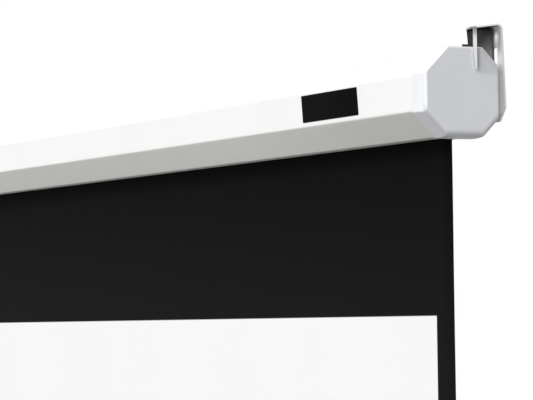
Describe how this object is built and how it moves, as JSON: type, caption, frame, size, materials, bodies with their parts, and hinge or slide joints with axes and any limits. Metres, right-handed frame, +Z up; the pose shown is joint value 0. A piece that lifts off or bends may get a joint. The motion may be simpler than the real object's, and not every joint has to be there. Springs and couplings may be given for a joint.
{
  "type": "projection screen",
  "caption": "Wall or ceiling hung pull-down projection screen: octagonal case with end caps and brackets, sprung roller with a pawl lock, black-bordered fabric, weight bar and pull handle",
  "frame": {"origin": "on the wall plane behind the brackets, midway along the case, level with the case's axis", "axes": "+X along the case to the viewer's right, +Y from the viewer to the wall, +Z up"},
  "size_m": [1.8376, 0.0819, 1.644],
  "materials": {
    "case_paint": "white powder coat",
    "cap_plastic": "white moulded plastic, satin",
    "zinc_steel": "bright zinc plate",
    "hard_steel": "dark hardened steel",
    "spring_steel": "oiled spring wire",
    "tube_aluminium": "mill finish",
    "nylon": "natural nylon",
    "screen_cloth": "black coated cloth with a matt white picture area on its front",
    "bar_plastic": "black moulded plastic",
    "bar_paint": "black powder coat"
  },
  "bodies": {
    "case": {"case_shell": "case_paint", "end_cap_left": "cap_plastic", "end_cap_right": "cap_plastic", "bracket_left": "zinc_steel", "bracket_right": "zinc_steel", "bracket_screw_left_lower": "zinc_steel", "bracket_screw_left_upper": "zinc_steel", "bracket_screw_right_lower": "zinc_steel", "bracket_screw_right_upper": "zinc_steel", "support_plate_left": "zinc_steel", "support_plate_right": "zinc_steel", "plate_screw_left_lower": "zinc_steel", "plate_screw_left_upper": "zinc_steel", "plate_screw_right_lower": "zinc_steel", "plate_screw_right_upper": "zinc_steel", "idler_bush": "nylon", "spindle": "zinc_steel", "spindle_clip": "spring_steel", "ratchet_wheel": "hard_steel", "torsion_spring": "spring_steel", "spring_anchor": "nylon", "anchor_pin": "zinc_steel", "spindle_bearing": "nylon", "screen_fabric": "screen_cloth"},
    "roller": {"roller_tube": "tube_aluminium", "roller_plug_left": "nylon", "roller_plug_right": "nylon", "idler_pin": "zinc_steel", "tube_rivet_left": "tube_aluminium", "tube_rivet_right": "tube_aluminium", "pawl_pivot_a": "zinc_steel", "pawl_pivot_b": "zinc_steel", "fabric_wraps": "screen_cloth"},
    "upper_pawl": {"pawl_a": "hard_steel"},
    "lower_pawl": {"pawl_b": "hard_steel"},
    "screen": {"weight_bar": "bar_paint", "bar_cap_left": "bar_plastic", "bar_cap_right": "bar_plastic", "hem_rod": "zinc_steel", "handle_bracket": "zinc_steel", "handle_screw_left": "zinc_steel", "handle_screw_right": "zinc_steel", "handle_pin": "zinc_steel"},
    "handle": {"pull_handle": "bar_plastic"}
  },
  "joints": [
    {"name": "screen_lift", "type": "slide", "parent": "case", "child": "screen", "axis": [0, 0, 1], "range_m": [0, 1.46], "deforming": ["screen_fabric"]},
    {"name": "roller_spin", "type": "hinge", "parent": "case", "child": "roller", "pos_m": [0, -0.05445, 0], "axis": [1, 0, 0], "range_deg": [0, 4320]},
    {"name": "upper_pawl_swing", "type": "hinge", "parent": "roller", "child": "upper_pawl", "pos_m": [-0.8999, -0.05445, 0.0145], "axis": [1, 0, 0], "range_deg": [-10, 10.5]},
    {"name": "lower_pawl_swing", "type": "hinge", "parent": "roller", "child": "lower_pawl", "pos_m": [-0.8999, -0.05445, -0.0145], "axis": [1, 0, 0], "range_deg": [-10, 10.5]},
    {"name": "handle_swing", "type": "hinge", "parent": "screen", "child": "handle", "pos_m": [0, -0.0369, -1.5338], "axis": [1, 0, 0], "range_deg": [-90, 90]}
  ],
  "couplings": [
    {"joint": "roller_spin", "follows": "screen_lift", "rad_per_m": 51.643}
  ]
}
